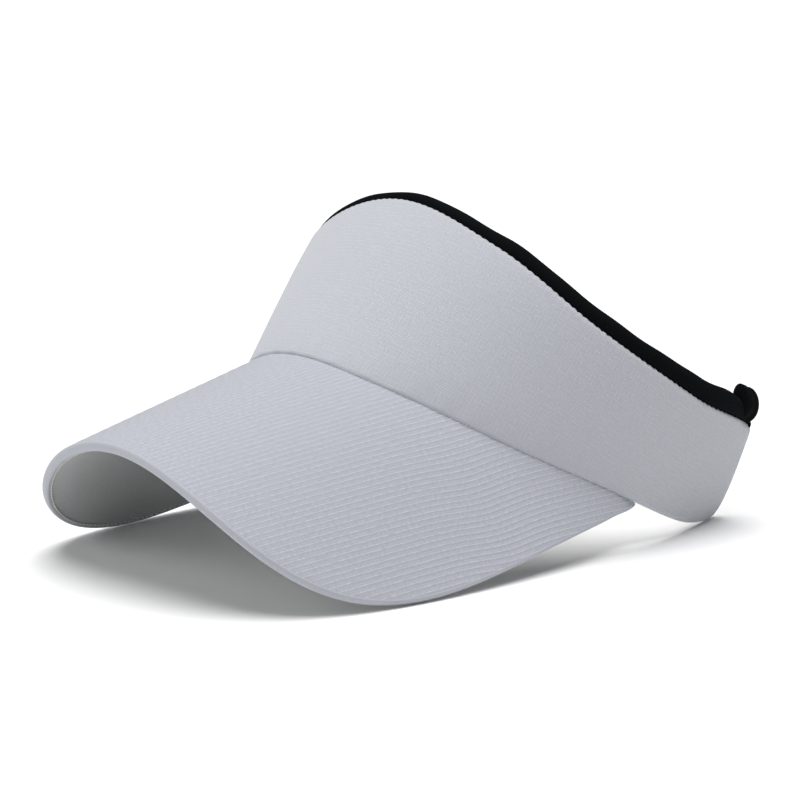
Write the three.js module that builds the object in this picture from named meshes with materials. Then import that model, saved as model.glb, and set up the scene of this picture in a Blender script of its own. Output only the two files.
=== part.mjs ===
// Sun visor with an open top: long arched brim, tapering crown band, padded sweatband that
// stands above the crown, and an elastic across the back of the head.
// Millimetres, +Z up, brim towards -Y, wearer's left at +X.
import * as THREE from 'three';

const DEG = Math.PI / 180;

// Head opening and crown wall. Angles run from 0 at the forehead to the tails, each side alike.
const HALF_WIDTH = 79;            // of the opening at the brim seam
const HALF_DEPTH = 103.5;
const LEAN = 33.9 * DEG;          // crown axis leans back
const FLARE_SIDE = 0.27;          // widening per mm of height at the temples
const FLARE_FRONT = -0.18;        // the forehead closes in a little instead
const SEAM_Z = 72.4;              // forehead end of the brim seam
const BOTTOM_EDGE = [[0, 0], [30, -2.2], [60, -1.8], [90, 4.2], [112, 10.6], [128, 19]];
const TOP_EDGE = [[0, 71.2], [30, 61.4], [60, 48.5], [90, 46.3], [112, 52.8]];
const BAND_RISE = [[0, 3.4], [30, 4.4], [60, 5.8], [90, 7.5], [112, 10.5]];  // black above white
const TAIL_ANGLE = 117.2;         // top corner of each tail
const TAIL_RAKE = 0.53;           // degrees the tail end runs back per mm down
const TAIL_RADIUS = 16.5;           // rounded lower corner
const HALF_LENGTH = 190;          // from forehead to tail end, along the wall

// Crown layers, distances inward from the outer face.
const SHELL = [0, 0.7];
const PADDING = [1, 2.6];
const LINING = [2.9, 3.5];
const INNER_START = 3;            // inner layers start this far above the brim seam
const HEM = 3.4;                  // the shell stands this far above them

// Sweatband: knit cover folded over a foam strip.
const BAND_OUT = 4;               // outer face, inside the lining
const BAND_PROUD = 1.2;           // above the crown edge it relaxes outwards to here
const BAND_IN = 8;
const BAND_DROP = 30;             // how far it reaches down inside the crown
const KNIT = 0.7;
const BAND_STOP = 20;             // ends this far short of the tail end

// Brim
const BRIM_EDGE = [[0, -184.6, 50], [78, -184.6, 50], [92, -161.5, -61.4], [83, -82.5, 30.3],
  [85.7, -30.6, 6.3]];              // curve poles, the last one is the seam end
const BRIM_END_ANGLE = 91;
const BRIM_TUCK = 2.4;            // middle of the brim lies this far inside the crown face
const BRIM_SINK = 0.5;
const BOARD = 0.7;                // half thickness
const COVER = [0.95, 1.35];       // from the middle of the brim
const BINDING = [1.6, 2.0];
const BINDING_WIDTH = 3;
const BINDING_EDGE = 0.9;
const BRIM_STEPS = 36;
const BRIM_REACH = 0.975;
const BINDING_REACH = 0.925;

// Elastic
const ELASTIC_HALF = [5.2, 2.3];  // half height and half thickness of the casing
const KNOB_HALF = [6.5, 4];       // swollen where it turns the corner
const WEBBING_HALF = [3.3, 0.6];
const TURN_ANGLES = [105.5, 110.3]; // sewn end and corner, round the head
const TURN_RISE = 7;            // middle of the elastic above the crown edge there
const SPAN_X = 66;                // where the free span meets the sewn ends
const BACK_BOW = 17;              // the span bows backwards
const BACK_SAG = 6;

const THREAD = 0.5;
const CLEAR = 0.25;

const visor = new THREE.Group();
visor.name = 'sun_visor';

const WHITE = [0xd9dce2, 0.85], KNITTED = [0x121416, 0.95], FOAM = [0xe8e6dc, 0.95];
const PLASTIC = [0xf2f2ee, 0.5], COTTON = [0xeeeadd, 0.8], RUBBER = [0x1a1a1a, 0.7];

// Smooth curve through stations, the same on both sides of the forehead.
function along(stations, angle) {
  const x = Math.abs(angle), n = stations.length;
  const slope = (i) => {
    if (i === 0) return 0;
    const a = stations[i - 1], b = stations[Math.min(i + 1, n - 1)];
    return (b[1] - a[1]) / (b[0] - a[0]);
  };
  let i = 0;
  while (i < n - 2 && x > stations[i + 1][0]) i++;
  const [x0, y0] = stations[i], [x1, y1] = stations[i + 1];
  const h = x1 - x0, t = (x - x0) / h, t2 = t * t, t3 = t2 * t;
  return (2 * t3 - 3 * t2 + 1) * y0 + (t3 - 2 * t2 + t) * h * slope(i)
    + (3 * t2 - 2 * t3) * y1 + (t3 - t2) * h * slope(i + 1);
}

// Point on the crown wall: angle round the head, height up the wall, depth inwards.
function wall(angle, height, depth) {
  const s = Math.sin(angle * DEG), c = Math.cos(angle * DEG);
  const back = new THREE.Vector3(0, Math.cos(LEAN), -Math.sin(LEAN));
  const up = new THREE.Vector3(0, Math.sin(LEAN), Math.cos(LEAN));
  const a = HALF_WIDTH + FLARE_SIDE * height, b = HALF_DEPTH + FLARE_FRONT * height;
  const p = new THREE.Vector3(a * s, -HALF_DEPTH, SEAM_Z)
    .addScaledVector(back, HALF_DEPTH - b * c).addScaledVector(up, height);
  const round = new THREE.Vector3(a * c, 0, 0).addScaledVector(back, b * s);
  const rise = new THREE.Vector3(FLARE_SIDE * s, 0, 0).addScaledVector(back, -FLARE_FRONT * c)
    .add(up);
  return p.addScaledVector(round.cross(rise).normalize(), -depth);
}

// One wall station: k from -1 (right tail) to 1 (left tail), heights from the seam and top edge.
function column(k) {
  const top = k * TAIL_ANGLE, side = Math.sign(k);
  const rake = THREE.MathUtils.smoothstep(Math.abs(k), 0.55, 1) * TAIL_RAKE;
  const height = along(TOP_EDGE, top) - along(BOTTOM_EDGE, top);
  const bottom = top + side * rake * height;
  const fromEnd = Math.min(TAIL_RADIUS, (1 - Math.abs(k)) * HALF_LENGTH);
  const corner = TAIL_RADIUS - Math.sqrt(TAIL_RADIUS ** 2 - (TAIL_RADIUS - fromEnd) ** 2);
  return { top, side, rake, high: along(TOP_EDGE, top), low: along(BOTTOM_EDGE, bottom), corner };
}

function onColumn(col, height, depth) {
  return wall(col.top + col.side * col.rake * (col.high - height), height, depth);
}

// Stations along the wall, close together round the tail corners.
function columns(endGap, steps = 22) {
  const ks = [];
  const last = 1 - endGap / HALF_LENGTH, corner = 1 - (TAIL_RADIUS + endGap) / HALF_LENGTH;
  for (let i = 0; i < 6; i++) {
    ks.push(last - (TAIL_RADIUS / HALF_LENGTH) * (1 - Math.cos(i * 15 * DEG)));
  }
  for (let i = 0; i < steps; i++) ks.push(corner * (1 - i / steps));
  return [...ks.map((k) => -k), 0, ...ks.reverse()].map(column);
}

// Closed body from stations, each a front row and a back row with the same number of points.
function ribbon(name, [color, roughness], stations) {
  const n = stations[0].front.length, ring = 2 * n, points = [], index = [];
  for (const s of stations) points.push(...s.front, ...[...s.back].reverse());
  const quad = (a, b, c, d) => index.push(a, b, c, a, c, d);
  for (let i = 0; i + 1 < stations.length; i++) {
    for (let j = 0; j < ring; j++) {
      const a = i * ring, b = a + ring, next = (j + 1) % ring;
      // Both faces are cut along the same diagonals, so neighbouring layers stay parallel.
      if (j < n) quad(a + j, b + j, b + next, a + next);
      else quad(b + j, b + next, a + next, a + j);
    }
  }
  const end = (stations.length - 1) * ring;
  for (let j = 0; j + 1 < n; j++) {
    quad(j, j + 1, ring - 2 - j, ring - 1 - j);
    quad(end + ring - 1 - j, end + ring - 2 - j, end + j + 1, end + j);
  }
  let volume = 0;
  for (let i = 0; i < index.length; i += 3) {
    const [a, b, c] = [points[index[i]], points[index[i + 1]], points[index[i + 2]]];
    volume += a.dot(b.clone().cross(c));
  }
  if (volume < 0) index.reverse();
  const geometry = new THREE.BufferGeometry();
  geometry.setAttribute('position',
    new THREE.Float32BufferAttribute(points.flatMap((p) => p.toArray()), 3));
  geometry.setIndex(index);
  geometry.computeVertexNormals();
  const mesh = new THREE.Mesh(geometry,
    new THREE.MeshStandardMaterial({ color, roughness, metalness: 0, name }));
  mesh.name = name;
  visor.add(mesh);
  return mesh;
}

const spread = (n, f) => Array.from({ length: n + 1 }, (_, i) => f(i / n));

// Crown: outer shell, thin padding, lining.
function crownLayer(name, finish, [outer, inner], rise, hem, endGap, rows) {
  ribbon(name, finish, columns(endGap).map((col) => {
    const low = col.low + rise + col.corner, high = col.high - hem;
    const row = (depth) => spread(rows, (v) => onColumn(col, low + v * (high - low), depth));
    return { front: row(outer), back: row(inner) };
  }));
}
crownLayer('crown_shell', WHITE, SHELL, 0, 0, 0, 3);
crownLayer('crown_padding', FOAM, PADDING, INNER_START, HEM, 1, 2);
crownLayer('crown_lining', WHITE, LINING, INNER_START, HEM, 1, 2);

// Sweatband section: depth inwards and height above the crown's top edge.
function bandSection(rise) {
  return [[BAND_OUT, -BAND_DROP], [BAND_OUT, -BAND_DROP / 2], [BAND_OUT, -2.5], [BAND_PROUD, 0.8],
    [BAND_PROUD + 0.4, rise - 1.2], [BAND_PROUD + 2, rise], [BAND_IN - 2.2, rise - 0.6],
    [BAND_IN - 0.6, rise - 2.6], [BAND_IN, -6], [BAND_IN, -BAND_DROP / 2], [BAND_IN, -BAND_DROP]];
}
// Moves an open section path sideways, to the inside of the fold.
function shrink(path, by) {
  return path.map(([x, y], i) => {
    const [ax, ay] = path[Math.max(i - 1, 0)], [bx, by2] = path[Math.min(i + 1, path.length - 1)];
    const dx = bx - ax, dy = by2 - ay, l = Math.hypot(dx, dy);
    return [x + (dy / l) * by, y - (dx / l) * by];
  });
}
const bandColumns = () => columns(BAND_STOP);
const bandPoint = (col) => ([depth, up]) => onColumn(col, col.high + up, depth);
ribbon('sweatband_cover', KNITTED, bandColumns().map((col) => {
  const section = bandSection(along(BAND_RISE, col.top));
  return { front: section.map(bandPoint(col)), back: shrink(section, KNIT).map(bandPoint(col)) };
}));
ribbon('sweatband_foam', FOAM, bandColumns().slice(1, -1).map((col) => {
  const inner = shrink(bandSection(along(BAND_RISE, col.top)), KNIT + CLEAR);
  const half = 5;
  const outside = inner.slice(1, half + 1), inside = inner.slice(-half - 1, -1).reverse();
  return { front: outside.map(bandPoint(col)), back: inside.map(bandPoint(col)) };
}));

// A thread line lying on the crown at a given depth and height.
function wallThread(name, finish, endGap, depth, height) {
  ribbon(name, finish, columns(endGap).map((col) => {
    const h = height(col);
    const row = (d) => [h - THREAD / 2, h + THREAD / 2].map((y) => onColumn(col, y, d));
    return { front: row(depth), back: row(depth + THREAD) };
  }));
}
wallThread('crown_top_stitching', WHITE, 3, -CLEAR - THREAD, (col) => col.high - 1.2);
wallThread('sweatband_lower_stitching', KNITTED, BAND_STOP + 2, BAND_IN + CLEAR,
  (col) => col.high - BAND_DROP + 2);
wallThread('brim_root_stitching', WHITE, TAIL_RADIUS + 60, LINING[1] + CLEAR,
  (col) => col.low + INNER_START + 1.5);

// Brim: the seam along the crown and the outer edge, joined by straight lines.
const root = (angle) => wall(angle, along(BOTTOM_EDGE, angle) - BRIM_SINK, BRIM_TUCK);
const poles = [...BRIM_EDGE.map((p) => new THREE.Vector3(...p)), root(BRIM_END_ANGLE)];
function outline(t) {
  let ps = poles;
  while (ps.length > 1) ps = ps.slice(1).map((p, i) => ps[i].clone().lerp(p, t));
  return ps[0];
}
const heading = (curve, x, e) => curve(x + e).sub(curve(x - e)).normalize();
// The brim is a flat sheet, bent but not stretched, so each straight line across it joins two
// places where seam and edge run in one plane with the line.
function rootFor(t) {
  const edge = outline(t), run = heading(outline, t, 0.002);
  const twist = (a) => root(a).sub(edge).dot(heading(root, a, 0.2).cross(run));
  let a = 0, b = BRIM_END_ANGLE;
  const before = Math.sign(twist(b));
  for (let i = 0; i < 40 && t > 0; i++) {
    const mid = (a + b) / 2;
    if (Math.sign(twist(mid)) === before) b = mid; else a = mid;
  }
  return root(a);
}
function brim(s, v) {
  const t = Math.min(Math.abs(s), 1), p = rootFor(t).lerp(outline(t), v);
  return s < 0 ? p.setX(-p.x) : p;
}
function brimNormal(s) {
  const across = heading((x) => brim(x, 1), s, 0.002);
  return brim(s, 1).sub(brim(s, 0)).cross(across).normalize();
}
const offBrim = (s, v, up) => brim(s, v).addScaledVector(brimNormal(s), up);
const brimStations = (reach) => spread(2 * BRIM_STEPS, (f) => 2 * f - 1)
  .filter((s) => Math.abs(s) <= reach);
function brimLayer(name, finish, upper, lower, inset) {
  ribbon(name, finish, brimStations(BRIM_REACH).map((s) => {
    const row = (up) => [0, 1 - inset].map((v) => offBrim(s, v, up));
    return { front: row(upper), back: row(lower) };
  }));
}
brimLayer('brim_board', PLASTIC, BOARD, -BOARD, 0.01);
brimLayer('brim_top_cover', WHITE, COVER[1], COVER[0], 0);
brimLayer('brim_under_cover', WHITE, -COVER[0], -COVER[1], 0);

// Binding and its threads follow the outer edge: in = distance in from the edge.
function edgePoint(s, inward, up) {
  const n = brimNormal(s), run = heading((x) => brim(x, 1), s, 0.002);
  const out = run.cross(n).normalize();
  return brim(s, 1).addScaledVector(out, -inward).addScaledVector(n, up);
}
function edgeRibbon(name, finish, front, back) {
  ribbon(name, finish, brimStations(BINDING_REACH).map((s) => {
    const row = (path) => path.map(([inward, up]) => edgePoint(s, inward, up));
    return { front: row(front), back: row(back) };
  }));
}
const wrap = [[BINDING_WIDTH, BINDING[1]], [-0.3, BINDING[1]], [-BINDING_EDGE, BINDING[1] * 0.6],
  [-BINDING_EDGE - 0.4, 0]];
const fold = [...wrap, ...wrap.slice(0, -1).reverse().map(([a, b]) => [a, -b])];
edgeRibbon('brim_edge_binding', WHITE, fold, shrink(fold, -(BINDING[1] - BINDING[0])));
for (const [name, side] of [['brim_edge_needle_thread', 1], ['brim_edge_bobbin_thread', -1]]) {
  const near = side * (BINDING[1] + CLEAR), far = near + side * THREAD, at = BINDING_WIDTH - 1;
  edgeRibbon(name, COTTON, [[at, near], [at, far]], [[at - THREAD, near], [at - THREAD, far]]);
}

// Elastic: a rounded casing round flat webbing, sewn to the sweatband at both tails.
const [sewn, corner] = TURN_ANGLES.map((a) =>
  wall(a, along(TOP_EDGE, a) + TURN_RISE, (BAND_PROUD + BAND_IN) / 2));
const beyond = (x, back, down) => new THREE.Vector3(x, corner.y + back, corner.z - down);
const leftHalf = [sewn, corner, beyond(corner.x - 5.5, 2.6, 2.6), beyond(SPAN_X, 6.5, 5),
  beyond(SPAN_X / 2, BACK_BOW * 0.8, BACK_SAG)];
const mirror = (p) => p.clone().setX(-p.x);
const route = new THREE.CatmullRomCurve3(
  [...leftHalf, beyond(0, BACK_BOW, BACK_SAG), ...leftHalf.map(mirror).reverse()]);
const JOIN = 0.3;                 // of the route, where the free span begins
function routePoint(f, up, out) {
  const p = route.getPoint(f), d = route.getTangent(f).setZ(0).normalize();
  return p.addScaledVector(new THREE.Vector3(d.y, -d.x, 0), out).add(new THREE.Vector3(0, 0, up));
}
function oval(f, [tall, thick]) {
  const row = (side) => spread(8, (i) => {
    const a = (i - 0.5) * Math.PI;
    return routePoint(f, tall * Math.sin(a), side * thick * (0.12 + 0.88 * Math.cos(a)));
  });
  return { front: row(1), back: row(-1) };
}
const swell = (f) => ELASTIC_HALF.map((size, i) =>
  size + (KNOB_HALF[i] - size) * Math.sin(Math.min(f / 0.22, 1) * Math.PI) ** 0.7);
const knob = (flip) => spread(14, (i) => {
  const f = i * (JOIN - 0.003);
  return oval(flip ? 1 - f : f, swell(f));
});
ribbon('left_elastic_end', KNITTED, knob(false));
ribbon('right_elastic_end', KNITTED, knob(true));

// The free span: knit casing, open along its lower fold, round the flat webbing.
const span = (make) => spread(18, (i) => make(JOIN + (1 - 2 * JOIN) * i));
ribbon('elastic_casing', KNITTED, span((f) => {
  const shell = (grow) => spread(10, (i) => {
    const a = (-0.42 + 1.84 * i) * Math.PI, c = Math.cos(a);
    return routePoint(f, (ELASTIC_HALF[0] - grow) * Math.sin(a),
      (ELASTIC_HALF[1] - grow) * (0.12 + 0.88 * Math.abs(c)) * Math.sign(c));
  });
  return { front: shell(0), back: shell(KNIT) };
}));
ribbon('elastic_webbing', RUBBER, span((f) => {
  const [tall, thick] = WEBBING_HALF;
  const row = (out) => [-tall, tall].map((up) => routePoint(f, up, out));
  return { front: row(thick), back: row(-thick) };
}));

// Bar tacks hold each elastic end on the inner face of the sweatband.
for (const [name, side] of [['left_end_bartack', 1], ['right_end_bartack', -1]]) {
  const row = (gap, d) => [-7, -3, 2].map((up) => {
    const col = column(side * (1 - gap / HALF_LENGTH));
    return onColumn(col, col.high + up, BAND_IN + CLEAR + d);
  });
  ribbon(name, KNITTED, [BAND_STOP + 2, BAND_STOP + 4].map((gap) =>
    ({ front: row(gap, 0), back: row(gap, THREAD) })));
}

// Stand the visor on the floor, centred over the origin.
const box = new THREE.Box3().setFromObject(visor);
for (const mesh of visor.children) {
  mesh.geometry.translate(-(box.min.x + box.max.x) / 2, -(box.min.y + box.max.y) / 2, -box.min.z);
}

export default visor;
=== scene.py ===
"""Sports sun visor: long ribbed brim, padded white crown band, dark knit sweatband, back elastic.

The looks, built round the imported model. Metres, +Z up, brim towards -Y, wearer's left at +X.
Cloth shapes are worked out in millimetres and placed in the frame when their mesh is made.
"""
import math

import bmesh
import bpy
import numpy as np
from mathutils import Matrix, Vector


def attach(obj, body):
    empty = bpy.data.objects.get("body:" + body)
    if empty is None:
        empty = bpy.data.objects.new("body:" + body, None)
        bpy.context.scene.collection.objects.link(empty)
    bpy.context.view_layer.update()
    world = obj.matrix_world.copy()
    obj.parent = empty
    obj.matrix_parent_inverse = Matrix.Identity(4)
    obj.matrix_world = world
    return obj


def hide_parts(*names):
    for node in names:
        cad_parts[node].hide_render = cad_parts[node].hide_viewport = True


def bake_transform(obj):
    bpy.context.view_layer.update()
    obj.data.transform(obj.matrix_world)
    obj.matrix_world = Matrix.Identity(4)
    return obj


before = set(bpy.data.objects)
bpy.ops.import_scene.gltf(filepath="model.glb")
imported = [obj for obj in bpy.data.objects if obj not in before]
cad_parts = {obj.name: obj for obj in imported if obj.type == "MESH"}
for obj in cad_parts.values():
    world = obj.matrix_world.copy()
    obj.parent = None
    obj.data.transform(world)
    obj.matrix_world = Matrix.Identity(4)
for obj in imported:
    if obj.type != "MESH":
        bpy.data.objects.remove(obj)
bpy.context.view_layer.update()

# ---------------------------------------------------------------------------------- studio
# White paper floor, a wide soft light overhead, a weak box from the wearer's right, and a
# lens of portrait length standing low at the wearer's front left.
LOOK_AT = Vector((-0.0594, 0.0626, 0.0353))
AZIMUTH, ELEVATION, ROLL = (math.radians(a) for a in (48.11, 10.27, 0.71))
CAMERA_DISTANCE, LENS, SENSOR = 1.0091, 112.8, 36.0

away = Vector((math.sin(AZIMUTH) * math.cos(ELEVATION), -math.cos(AZIMUTH) * math.cos(ELEVATION),
               math.sin(ELEVATION)))
level_right = Vector((math.cos(AZIMUTH), math.sin(AZIMUTH), 0))
level_up = away.cross(level_right)
picture_right = level_right * math.cos(ROLL) - level_up * math.sin(ROLL)
picture_up = level_up * math.cos(ROLL) + level_right * math.sin(ROLL)
camera = bpy.data.objects.new("camera", bpy.data.cameras.new("camera"))
camera.data.lens, camera.data.sensor_width, camera.data.clip_end = LENS, SENSOR, 200
camera.matrix_world = Matrix.Translation(LOOK_AT + away * CAMERA_DISTANCE) @ Matrix(
    (picture_right, picture_up, away)).transposed().to_4x4()
bpy.context.collection.objects.link(camera)
bpy.context.scene.camera = camera
bpy.context.scene.view_settings.view_transform = "Standard"

SKY_FROM, SKY_SPREAD, SKY_POWER, ROOM_LIGHT = (0.09, 0.0, 1.0), 50, 3.25, 0.20
sky = bpy.data.lights.new("overhead_softbox", "SUN")
sky.energy, sky.angle = SKY_POWER, math.radians(SKY_SPREAD)
overhead = bpy.data.objects.new("overhead_softbox", sky)
overhead.rotation_euler = (-Vector(SKY_FROM)).to_track_quat("-Z", "Y").to_euler()
bpy.context.collection.objects.link(overhead)
SIDE_PLACE, SIDE_SIZE, SIDE_WATTS = (-0.85, -1.40, 0.85), 1.0, 7.5
lamp = bpy.data.lights.new("side_softbox", "AREA")
lamp.size, lamp.energy = SIDE_SIZE, SIDE_WATTS
side_box = bpy.data.objects.new("side_softbox", lamp)
side_box.location = SIDE_PLACE
side_box.rotation_euler = (-Vector(SIDE_PLACE)).to_track_quat("-Z", "Y").to_euler()
bpy.context.collection.objects.link(side_box)
room = bpy.data.worlds.new("studio")
room.use_nodes = True
room.node_tree.nodes["Background"].inputs["Color"].default_value = (1, 1, 1, 1)
room.node_tree.nodes["Background"].inputs["Strength"].default_value = ROOM_LIGHT
bpy.context.scene.world = room


def node(tree, kind, inputs=(), **settings):
    """Adds a node; inputs are a mapping from socket to a value or to another node's output."""
    new = tree.nodes.new(kind)
    for key, value in settings.items():
        setattr(new, key, value)
    for socket, value in dict(inputs).items():
        if isinstance(value, bpy.types.NodeSocket):
            tree.links.new(value, new.inputs[socket])
        else:
            new.inputs[socket].default_value = value
    return new


def maths(tree, operation, *values):
    """Output of a Math node; values are numbers or sockets."""
    return node(tree, "ShaderNodeMath", enumerate(values), operation=operation).outputs[0]


def new_material(name, roughness, sheen=0.0, colour=(0.8, 0.8, 0.8), specular=0.25):
    """A material with its Principled shader; what varies over the surface is linked later."""
    material = bpy.data.materials.new(name)
    material.use_nodes = True
    shader = material.node_tree.nodes["Principled BSDF"]
    shader.inputs["Base Color"].default_value = (*colour, 1)
    shader.inputs["Roughness"].default_value = roughness
    shader.inputs["Sheen Weight"].default_value = sheen
    shader.inputs["Sheen Roughness"].default_value = 0.5
    shader.inputs["Specular IOR Level"].default_value = specular
    return material, material.node_tree, shader


def emboss(tree, shader, height, strength, distance):
    """Raises the surface by a height, which never moves more than distance in metres."""
    bump = node(tree, "ShaderNodeBump", {"Height": height, "Strength": strength,
                "Distance": distance})
    tree.links.new(bump.outputs["Normal"], shader.inputs["Normal"])


floor_paper, tree, shader = new_material("white_paper", 0.9, colour=(0.93, 0.93, 0.93))
grain = node(tree, "ShaderNodeTexNoise", {"Scale": 600.0, "Detail": 3.0,
             "Vector": node(tree, "ShaderNodeTexCoord").outputs["Object"]})
emboss(tree, shader, grain.outputs["Fac"], 0.05, 0.0002)
FLOOR_HALF = 30
floor_mesh = bpy.data.meshes.new("floor")
floor_mesh.from_pydata([(-FLOOR_HALF, -FLOOR_HALF, 0), (FLOOR_HALF, -FLOOR_HALF, 0),
                        (FLOOR_HALF, FLOOR_HALF, 0), (-FLOOR_HALF, FLOOR_HALF, 0)], [],
                       [(0, 1, 2, 3)])
floor_mesh.materials.append(floor_paper)
floor = bpy.data.objects.new("floor", floor_mesh)
bpy.context.collection.objects.link(floor)

# ----------------------------------------------------------------------------- crown shell
# One band of white checked polyester, cut in one piece from tail to tail. Its edges roll
# under; the stitches along the top pull the edge into small scallops.
HALF_WIDTH, HALF_DEPTH = 79.0, 103.5
LEAN = math.radians(33.9)
FLARE_SIDE, FLARE_FRONT = 0.27, -0.18
SEAM_Z = 72.4
BOTTOM_EDGE = [[0, 0], [30, -2.2], [60, -1.8], [90, 4.2], [112, 10.6], [128, 19]]
TOP_EDGE = [[0, 71.2], [30, 61.4], [60, 48.5], [90, 46.3], [112, 52.8]]
TAIL_ANGLE, TAIL_RAKE, TAIL_RADIUS, HALF_LENGTH = 117.2, 0.53, 16.5, 190.0
RAKE_FROM = 0.55                              # share of the way round where the rake sets in
FORM_PLACE = np.array([0.0, 62.588, 0.191])   # where the frame has the form's own origin
EDGE_ROLL, TOP_LIFT = 1.5, 0.45
SCALLOP_PITCH, SCALLOP_RISE = 2.9, 0.34
SHELL_THICK, SHELL_PUFF, PUFF_REACH = 0.7, 0.7, 7.0
STITCH_PULL, PULL_REACH = 0.13, 1.8           # the top stitches draw the cloth in
SEAM_PUCKER, PUCKER_REACH = 0.16, 6.0         # small gathers above the brim's seam
SOFT_HOLLOW, HOLLOW_REACH = 0.22, 12.0        # slow hollows and swellings of the padded band


def along(stations, angle):
    """Smooth curve through stations, level at the forehead and the same on both sides."""
    at = np.array(stations, float)
    last = len(at) - 1
    slope = np.array([0.0] + [(at[min(i + 1, last), 1] - at[i - 1, 1])
                              / (at[min(i + 1, last), 0] - at[i - 1, 0])
                              for i in range(1, last + 1)])
    x = np.abs(np.asarray(angle, float))
    i = np.clip(np.searchsorted(at[:, 0], x) - 1, 0, last - 1)
    h = at[i + 1, 0] - at[i, 0]
    t = (x - at[i, 0]) / h
    return ((2 * t**3 - 3 * t**2 + 1) * at[i, 1] + (t**3 - 2 * t**2 + t) * h * slope[i]
            + (3 * t**2 - 2 * t**3) * at[i + 1, 1] + (t**3 - t**2) * h * slope[i + 1])


def unit(v):
    return v / np.linalg.norm(v, axis=-1, keepdims=True)


BACKWARDS = np.array([0, math.cos(LEAN), -math.sin(LEAN)])
UPWARDS = np.array([0, math.sin(LEAN), math.cos(LEAN)])
SIDEWAYS = np.array([1.0, 0, 0])


def wall(angle, height, depth):
    """Points on the crown: degrees round the head, height up the wall, depth inwards."""
    angle, height, depth = np.broadcast_arrays(*(np.asarray(a, float)
                                                 for a in (angle, height, depth)))
    s, c = (f(np.radians(angle))[..., None] for f in (np.sin, np.cos))
    a = (HALF_WIDTH + FLARE_SIDE * height)[..., None]
    b = (HALF_DEPTH + FLARE_FRONT * height)[..., None]
    p = (a * s * SIDEWAYS + np.array([0, -HALF_DEPTH, SEAM_Z])
         + (HALF_DEPTH - b * c) * BACKWARDS + height[..., None] * UPWARDS)
    turn = a * c * SIDEWAYS + b * s * BACKWARDS
    rise = FLARE_SIDE * s * SIDEWAYS - FLARE_FRONT * c * BACKWARDS + UPWARDS
    return p - unit(np.cross(turn, rise)) * depth[..., None]


def column(k):
    """Wall stations: k from -1 at the right tail to 1 at the left tail."""
    k = np.asarray(k, float)
    top = k * TAIL_ANGLE
    t = np.clip((np.abs(k) - RAKE_FROM) / (1 - RAKE_FROM), 0, 1)
    rake = t * t * (3 - 2 * t) * TAIL_RAKE * np.sign(k)
    high = along(TOP_EDGE, top)
    low = along(BOTTOM_EDGE, top + rake * (high - along(BOTTOM_EDGE, top)))
    from_end = (1 - np.abs(k)) * HALF_LENGTH
    return {"top": top, "rake": rake, "high": high, "low": low, "from_end": from_end}


def on_column(col, height, depth):
    """Points of the wall: one row of heights for each station."""
    angle = col["top"][:, None] + col["rake"][:, None] * (col["high"][:, None] - height)
    return wall(angle, height, depth), angle


def stations(end_gap, steps, corner_steps=26):
    """Values of k along the band, close together round the tail's rounded corner."""
    last = 1 - end_gap / HALF_LENGTH
    corner = 1 - (TAIL_RADIUS + end_gap) / HALF_LENGTH
    turn = np.linspace(0, math.pi / 2, corner_steps, endpoint=False)
    ends = last - TAIL_RADIUS / HALF_LENGTH * (1 - np.cos(turn))
    half = np.concatenate([ends, corner * np.linspace(1, 0, steps, endpoint=False)])
    return np.concatenate([-half, [0], half[::-1]])


def flat_pattern(seam, edge):
    """Lays the strips between neighbouring straight lines down flat, one after the other."""
    flat_seam, flat_edge = np.zeros((len(seam), 2)), np.zeros((len(seam), 2))
    flat_edge[0] = (0, -np.linalg.norm(edge[0] - seam[0]))

    def beyond(p, q, from_p, from_q):
        """Point at those distances from p and q, on the outer side."""
        d = np.linalg.norm(q - p)
        x = (from_p**2 - from_q**2 + d * d) / (2 * d)
        y = math.sqrt(max(from_p**2 - x * x, 0))
        ahead = (q - p) / d
        return p + ahead * x + np.array([-ahead[1], ahead[0]]) * y

    size = np.linalg.norm
    for i in range(1, len(seam)):
        p, q = flat_seam[i - 1], flat_edge[i - 1]
        flat_edge[i] = beyond(p, q, size(edge[i] - seam[i - 1]), size(edge[i] - edge[i - 1]))
        flat_seam[i] = beyond(p, flat_edge[i], size(seam[i] - seam[i - 1]), size(seam[i] - edge[i]))
    return flat_seam, flat_edge


# The band is cut flat too, so its threads run straight in the unrolled wall.
WALL_TOP = 60.0
wall_angles = np.linspace(0, 150, 901)
wall_flat = flat_pattern(wall(wall_angles, WALL_TOP, 0), wall(wall_angles, 0, 0))
wall_flat[0][:, 1] += WALL_TOP
wall_flat[1][:, 1] += WALL_TOP
wall_run = np.concatenate([[0], np.cumsum(np.linalg.norm(
    np.diff(wall(wall_angles, 35, 0), axis=0), axis=1))])


def run_round(angle):
    """Length along the band from the forehead, in millimetres."""
    return np.sign(angle) * np.interp(np.abs(angle), wall_angles, wall_run)


def cloth_on_wall(angle, height):
    """Place in the flat cloth, in millimetres: along the band and up it."""
    share = height / WALL_TOP
    x, y = (np.interp(np.abs(angle), wall_angles, wall_flat[1][:, i]) * (1 - share)
            + np.interp(np.abs(angle), wall_angles, wall_flat[0][:, i]) * share for i in (0, 1))
    return np.stack([x * np.sign(angle), y, 0 * x], -1)


def roll(distance, radius):
    """How far a face turns in where it rolls over an edge that is distance away."""
    d = np.clip(distance, 0, radius)
    return radius - np.sqrt(np.maximum(radius**2 - (radius - d) ** 2, 0))


def edge_distance(col, height, hem=0.0, low_gap=0.0, end_gap=0.0):
    """Distance from the edge of the band, round its rounded lower corners."""
    e = np.maximum(col["from_end"][:, None] - end_gap, 0)
    up = height - col["low"][:, None] - low_gap
    corner = TAIL_RADIUS - np.hypot(np.maximum(TAIL_RADIUS - e, 0),
                                    np.maximum(TAIL_RADIUS - up, 0))
    return np.minimum(np.minimum(corner, col["high"][:, None] - hem - height),
                      np.where(up > TAIL_RADIUS, e, np.inf))


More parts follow.
